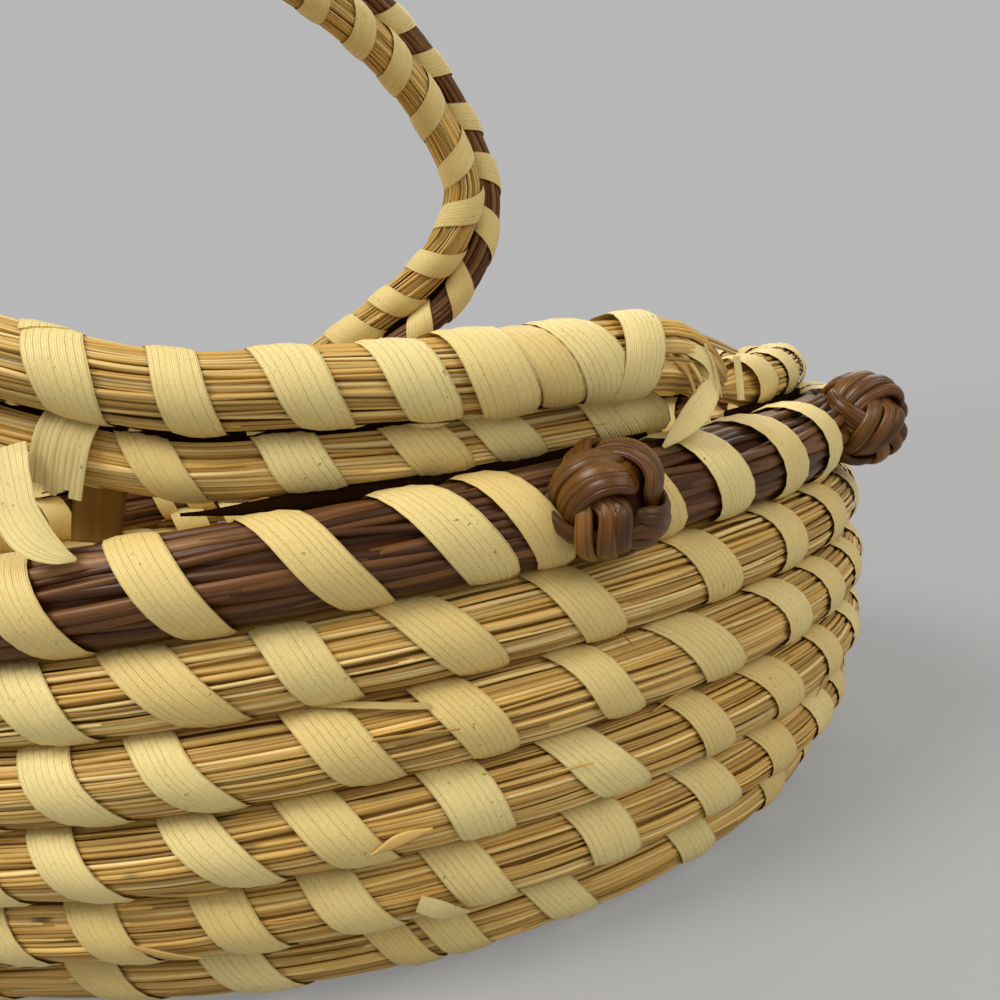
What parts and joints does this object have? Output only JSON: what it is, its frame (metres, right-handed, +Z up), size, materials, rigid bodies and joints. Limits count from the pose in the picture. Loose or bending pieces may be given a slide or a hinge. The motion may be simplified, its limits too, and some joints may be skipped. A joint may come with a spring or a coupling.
{
  "type": "coiled sweetgrass basket",
  "caption": "Oval basket of stitched coils of grass with a darker pine-needle rim row, needle knots and an overhead handle of coils bound side by side.",
  "frame": {"origin": "middle of the base on the surface that the basket stands on", "axes": "+Z up, +X along the oval's long axis towards the right end in the picture, the handle crosses roughly along Y"},
  "size_m": [0.2002, 0.1762, 0.1537],
  "materials": {
    "sweetgrass": "dry straw, low sheen",
    "pine_needles": "satin",
    "palmetto": "matte, fine lengthwise ribs",
    "knot_needles": "semi-gloss"
  },
  "bodies": {
    "root": {"base_coil": "sweetgrass", "wall_coil": "sweetgrass", "pine_row": "pine_needles", "handle_light_coil": "sweetgrass", "handle_pine_coil": "pine_needles", "rim_coil_right": "sweetgrass", "rim_coil_left": "sweetgrass", "pine_knot_1": "knot_needles", "pine_knot_2": "knot_needles", "pine_knot_3": "knot_needles", "pine_knot_4": "knot_needles", "pine_strip_01": "palmetto", "pine_strip_02": "palmetto", "pine_strip_03": "palmetto", "pine_strip_04": "palmetto", "pine_strip_05": "palmetto", "pine_strip_06": "palmetto", "pine_strip_07": "palmetto", "pine_strip_08": "palmetto", "pine_strip_09": "palmetto", "pine_strip_10": "palmetto", "pine_strip_11": "palmetto", "pine_strip_12": "palmetto", "pine_strip_13": "palmetto", "pine_strip_14": "palmetto", "pine_strip_15": "palmetto", "pine_strip_16": "palmetto", "pine_strip_17": "palmetto", "pine_strip_18": "palmetto", "pine_strip_19": "palmetto", "pine_strip_20": "palmetto", "pine_strip_21": "palmetto", "pine_strip_22": "palmetto", "pine_strip_23": "palmetto", "pine_strip_24": "palmetto", "pine_strip_25": "palmetto", "pine_strip_26": "palmetto", "pine_strip_27": "palmetto", "pine_strip_28": "palmetto", "pine_strip_29": "palmetto", "pine_strip_30": "palmetto", "pine_strip_31": "palmetto", "pine_strip_32": "palmetto", "pine_strip_33": "palmetto", "pine_strip_34": "palmetto", "pine_strip_35": "palmetto", "pine_strip_36": "palmetto", "handle_binding_near": "palmetto", "handle_binding_far": "palmetto"}
  },
  "joints": []
}
